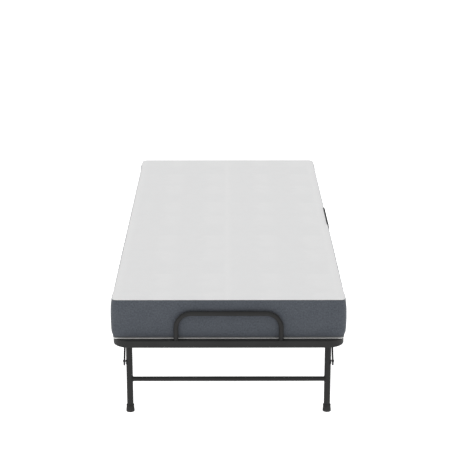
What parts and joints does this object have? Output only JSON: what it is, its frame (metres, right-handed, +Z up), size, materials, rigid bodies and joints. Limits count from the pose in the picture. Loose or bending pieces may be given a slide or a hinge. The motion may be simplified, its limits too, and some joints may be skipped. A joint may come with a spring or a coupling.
{
  "type": "rollaway bed",
  "caption": "Folding rollaway guest bed: foam mattress on a slatted black tube frame that folds up at the middle on casters, with folding end legs and mattress retainer loops.",
  "frame": {"origin": "floor level under the middle of the bed", "axes": "+Z up, +Y along the bed to the head end, +X to the right seen from the foot end"},
  "size_m": [0.8044, 1.945, 0.415],
  "materials": {
    "powder_coated_steel": "satin",
    "zinc_plated_steel": "satin",
    "black_rubber": "matte",
    "black_plastic": "matte",
    "wheel_polymer": "satin",
    "mattress_ticking": "matte",
    "black_webbing": "matte"
  },
  "bodies": {
    "centre_section": {"side_plate_left": "powder_coated_steel", "side_plate_right": "powder_coated_steel", "wheel_frame_left": "powder_coated_steel", "wheel_frame_right": "powder_coated_steel", "centre_tube_foot": "powder_coated_steel", "centre_tube_head": "powder_coated_steel", "base_tube": "powder_coated_steel", "centre_slats": "powder_coated_steel", "fold_stops": "powder_coated_steel", "hinge_fasteners": "zinc_plated_steel", "caster_sockets": "zinc_plated_steel", "mattress_centre": "mattress_ticking", "carry_handle": "black_webbing"},
    "fold_latch": {"fold_latch": "powder_coated_steel"},
    "foot_section": {"foot_rail": "powder_coated_steel", "foot_retainer_loop": "powder_coated_steel", "foot_slats": "powder_coated_steel", "foot_leg_brackets": "powder_coated_steel", "foot_leg_bolts": "zinc_plated_steel", "foot_brace_guides": "powder_coated_steel", "foot_tube_plugs": "black_plastic", "mattress_foot": "mattress_ticking", "latch_stud": "zinc_plated_steel"},
    "foot_leg": {"foot_leg_left": "powder_coated_steel", "foot_leg_right": "powder_coated_steel", "foot_crossbar": "powder_coated_steel", "foot_pad_left": "black_rubber", "foot_pad_right": "black_rubber", "foot_brace_pins": "zinc_plated_steel"},
    "foot_braces": {"foot_brace_left": "powder_coated_steel", "foot_brace_right": "powder_coated_steel"},
    "caster_foot_left": {"caster_fork_foot_left": "zinc_plated_steel", "caster_axle_foot_left": "zinc_plated_steel"},
    "wheel_foot_left": {"caster_wheel_foot_left": "wheel_polymer"},
    "caster_foot_right": {"caster_fork_foot_right": "zinc_plated_steel", "caster_axle_foot_right": "zinc_plated_steel"},
    "wheel_foot_right": {"caster_wheel_foot_right": "wheel_polymer"},
    "head_section": {"head_rail": "powder_coated_steel", "head_retainer_loop": "powder_coated_steel", "head_slats": "powder_coated_steel", "head_leg_brackets": "powder_coated_steel", "head_leg_bolts": "zinc_plated_steel", "head_brace_guides": "powder_coated_steel", "head_tube_plugs": "black_plastic", "mattress_head": "mattress_ticking", "latch_rivet": "zinc_plated_steel"},
    "head_leg": {"head_leg_left": "powder_coated_steel", "head_leg_right": "powder_coated_steel", "head_crossbar": "powder_coated_steel", "head_pad_left": "black_rubber", "head_pad_right": "black_rubber", "head_brace_pins": "zinc_plated_steel"},
    "head_braces": {"head_brace_left": "powder_coated_steel", "head_brace_right": "powder_coated_steel"},
    "caster_head_left": {"caster_fork_head_left": "zinc_plated_steel", "caster_axle_head_left": "zinc_plated_steel"},
    "wheel_head_left": {"caster_wheel_head_left": "wheel_polymer"},
    "caster_head_right": {"caster_fork_head_right": "zinc_plated_steel", "caster_axle_head_right": "zinc_plated_steel"},
    "wheel_head_right": {"caster_wheel_head_right": "wheel_polymer"}
  },
  "joints": [
    {"name": "foot_fold", "type": "hinge", "parent": "centre_section", "child": "foot_section", "pos_m": [0, -0.175, 0.2595], "axis": [-1, 0, 0], "range_deg": [0, 90], "deforming": ["mattress_centre"]},
    {"name": "head_fold", "type": "hinge", "parent": "centre_section", "child": "head_section", "pos_m": [0, 0.175, 0.2595], "axis": [1, 0, 0], "range_deg": [0, 90], "deforming": ["mattress_centre"]},
    {"name": "foot_leg_fold", "type": "hinge", "parent": "foot_section", "child": "foot_leg", "pos_m": [0, -0.9355, 0.256], "axis": [1, 0, 0], "range_deg": [0, 88]},
    {"name": "foot_brace_turn", "type": "hinge", "parent": "foot_leg", "child": "foot_braces", "pos_m": [0, -0.9355, 0.1848], "axis": [1, 0, 0], "range_deg": [-137.6, 0]},
    {"name": "head_leg_fold", "type": "hinge", "parent": "head_section", "child": "head_leg", "pos_m": [0, 0.9355, 0.256], "axis": [-1, 0, 0], "range_deg": [0, 88]},
    {"name": "head_brace_turn", "type": "hinge", "parent": "head_leg", "child": "head_braces", "pos_m": [0, 0.9355, 0.1848], "axis": [-1, 0, 0], "range_deg": [-137.6, 0]},
    {"name": "latch_turn", "type": "hinge", "parent": "head_section", "child": "fold_latch", "pos_m": [-0.402, 0.475, 0.2595], "axis": [1, 0, 0], "range_deg": [0, 90]},
    {"name": "caster_swivel_foot_left", "type": "hinge", "parent": "centre_section", "child": "caster_foot_left", "pos_m": [-0.349, -0.14, 0.08], "axis": [0, 0, 1], "continuous": true},
    {"name": "wheel_spin_foot_left", "type": "hinge", "parent": "caster_foot_left", "child": "wheel_foot_left", "pos_m": [-0.349, -0.162, 0.025], "axis": [1, 0, 0], "continuous": true},
    {"name": "caster_swivel_foot_right", "type": "hinge", "parent": "centre_section", "child": "caster_foot_right", "pos_m": [0.349, -0.14, 0.08], "axis": [0, 0, 1], "continuous": true},
    {"name": "wheel_spin_foot_right", "type": "hinge", "parent": "caster_foot_right", "child": "wheel_foot_right", "pos_m": [0.349, -0.162, 0.025], "axis": [1, 0, 0], "continuous": true},
    {"name": "caster_swivel_head_left", "type": "hinge", "parent": "centre_section", "child": "caster_head_left", "pos_m": [-0.349, 0.14, 0.08], "axis": [0, 0, 1], "continuous": true},
    {"name": "wheel_spin_head_left", "type": "hinge", "parent": "caster_head_left", "child": "wheel_head_left", "pos_m": [-0.349, 0.162, 0.025], "axis": [1, 0, 0], "continuous": true},
    {"name": "caster_swivel_head_right", "type": "hinge", "parent": "centre_section", "child": "caster_head_right", "pos_m": [0.349, 0.14, 0.08], "axis": [0, 0, 1], "continuous": true},
    {"name": "wheel_spin_head_right", "type": "hinge", "parent": "caster_head_right", "child": "wheel_head_right", "pos_m": [0.349, 0.162, 0.025], "axis": [1, 0, 0], "continuous": true}
  ],
  "couplings": [
    {"joint": "foot_brace_turn", "follows": "foot_leg_fold", "ratio": -1.5621},
    {"joint": "head_brace_turn", "follows": "head_leg_fold", "ratio": -1.5621}
  ]
}
